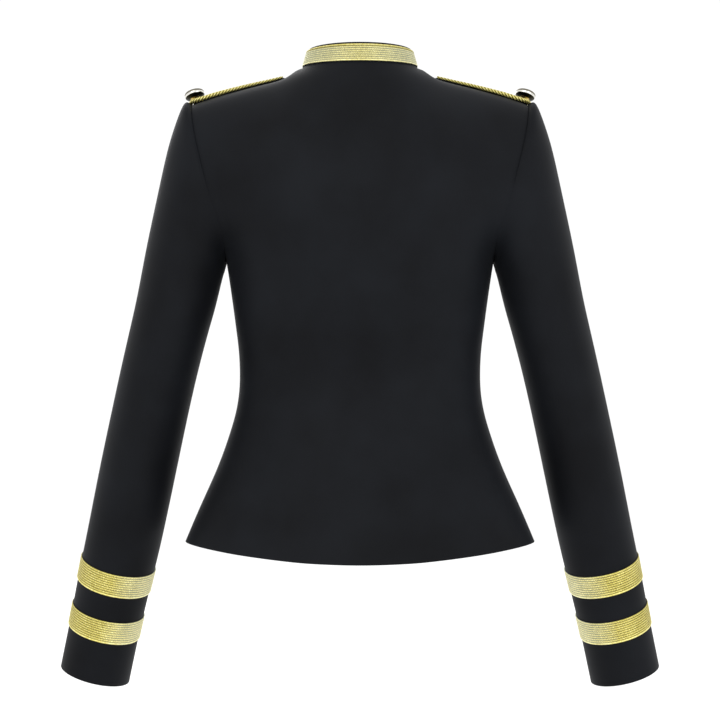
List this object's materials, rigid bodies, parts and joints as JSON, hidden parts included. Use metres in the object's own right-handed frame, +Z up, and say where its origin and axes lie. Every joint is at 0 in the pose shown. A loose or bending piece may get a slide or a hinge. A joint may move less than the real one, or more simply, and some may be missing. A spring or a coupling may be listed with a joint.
{
  "type": "fitted braided costume jacket, filled out as if worn",
  "caption": "Short fitted costume jacket with stand collar, long set-in sleeves, gold braid at collar and cuffs, and corded shoulder tabs with buttons; hollow, as if worn.",
  "frame": {"origin": "middle of the shoulders, where the wearer's neck and shoulders carry the jacket", "axes": "+Z up; -Y towards the front of the jacket; +X towards the wearer's left"},
  "size_m": [0.654, 0.2495, 0.6884],
  "materials": {
    "cloth": "smooth near-black suiting with a soft satin sheen",
    "gold_braid": "pale gold metallic thread, woven in fine slanted rows and twisted into cord",
    "button_metal": "aged metal, paler and worn on its rim and crown, dark underneath"
  },
  "bodies": {
    "root": {"back": "cloth", "front_left": "cloth", "front_right": "cloth", "sleeve_left": "cloth", "sleeve_right": "cloth", "collar": "cloth", "epaulette_left": "cloth", "epaulette_right": "cloth", "collar_braid": "gold_braid", "cuff_braid_left_upper": "gold_braid", "cuff_braid_left_lower": "gold_braid", "cuff_braid_right_upper": "gold_braid", "cuff_braid_right_lower": "gold_braid", "epaulette_cord_left": "gold_braid", "epaulette_cord_right": "gold_braid", "button_left": "button_metal", "button_right": "button_metal"}
  },
  "joints": []
}
